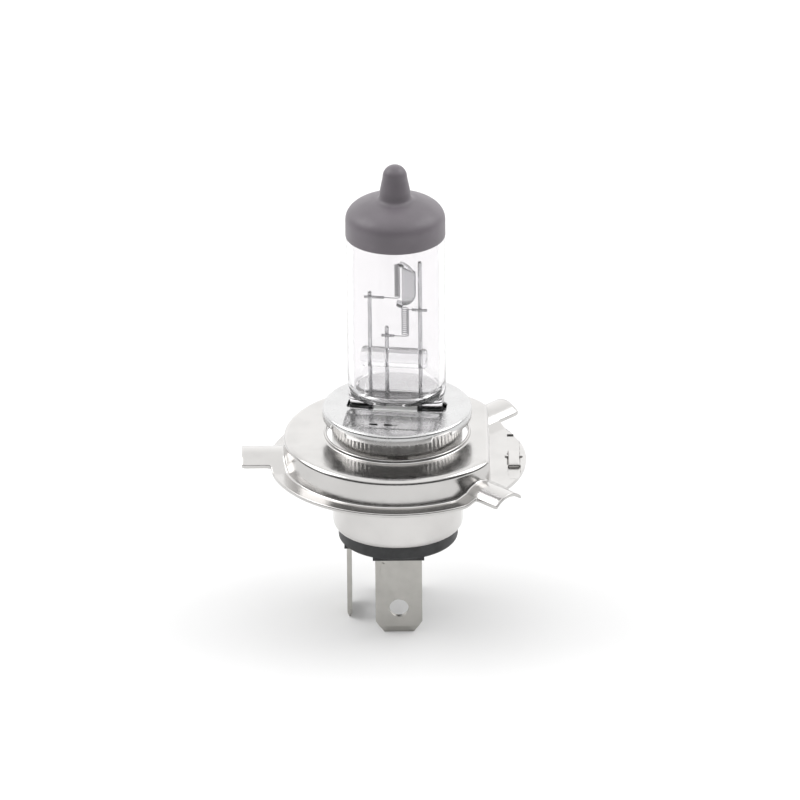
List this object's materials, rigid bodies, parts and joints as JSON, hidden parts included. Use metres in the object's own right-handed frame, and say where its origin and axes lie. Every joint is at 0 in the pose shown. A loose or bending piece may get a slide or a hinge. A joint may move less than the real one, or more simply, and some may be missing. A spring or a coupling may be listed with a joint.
{
  "type": "headlight bulb",
  "caption": "Halogen headlight bulb: clear quartz tube with dark glare cap, dipped and main filaments, pressed flange ring with lugs, black insulator and blade terminals.",
  "frame": {"origin": "on the bulb's axis at the reference plane, which is the flange's upper face", "axes": "+Z along the axis toward the glass tip, -X toward the wide reference lug, blades below"},
  "size_m": [0.0475, 0.043, 0.0816],
  "materials": {
    "quartz": "clear polished quartz",
    "glare_coating": "dark grey-mauve satin ceramic coating",
    "tungsten": "drawn tungsten wire",
    "molybdenum": "bright drawn molybdenum",
    "foil": "thin molybdenum foil",
    "nickel_steel": "nickel-plated pressed steel, satin",
    "retainer_steel": "bright stainless pressing",
    "spring_steel": "spring steel strip",
    "terminal_metal": "tin-plated blade, matt",
    "insulator_plastic": "black moulded plastic"
  },
  "bodies": {
    "root": {"glass_envelope": "quartz", "quartz_bridge": "quartz", "glare_cap": "glare_coating", "dipped_filament": "tungsten", "main_filament": "tungsten", "dipped_shield": "molybdenum", "dipped_post": "molybdenum", "main_post": "molybdenum", "common_post": "molybdenum", "dipped_sleeve": "molybdenum", "main_sleeve": "molybdenum", "common_sleeve": "molybdenum", "foil_dipped": "foil", "foil_main": "foil", "foil_common": "foil", "lead_dipped": "molybdenum", "lead_main": "molybdenum", "lead_common": "molybdenum", "retainer_plate": "retainer_steel", "pinch_clip": "spring_steel", "base_shell": "nickel_steel", "adapter_ring": "nickel_steel", "insulator": "insulator_plastic", "terminal_dipped": "terminal_metal", "terminal_main": "terminal_metal", "terminal_common": "terminal_metal"}
  },
  "joints": []
}
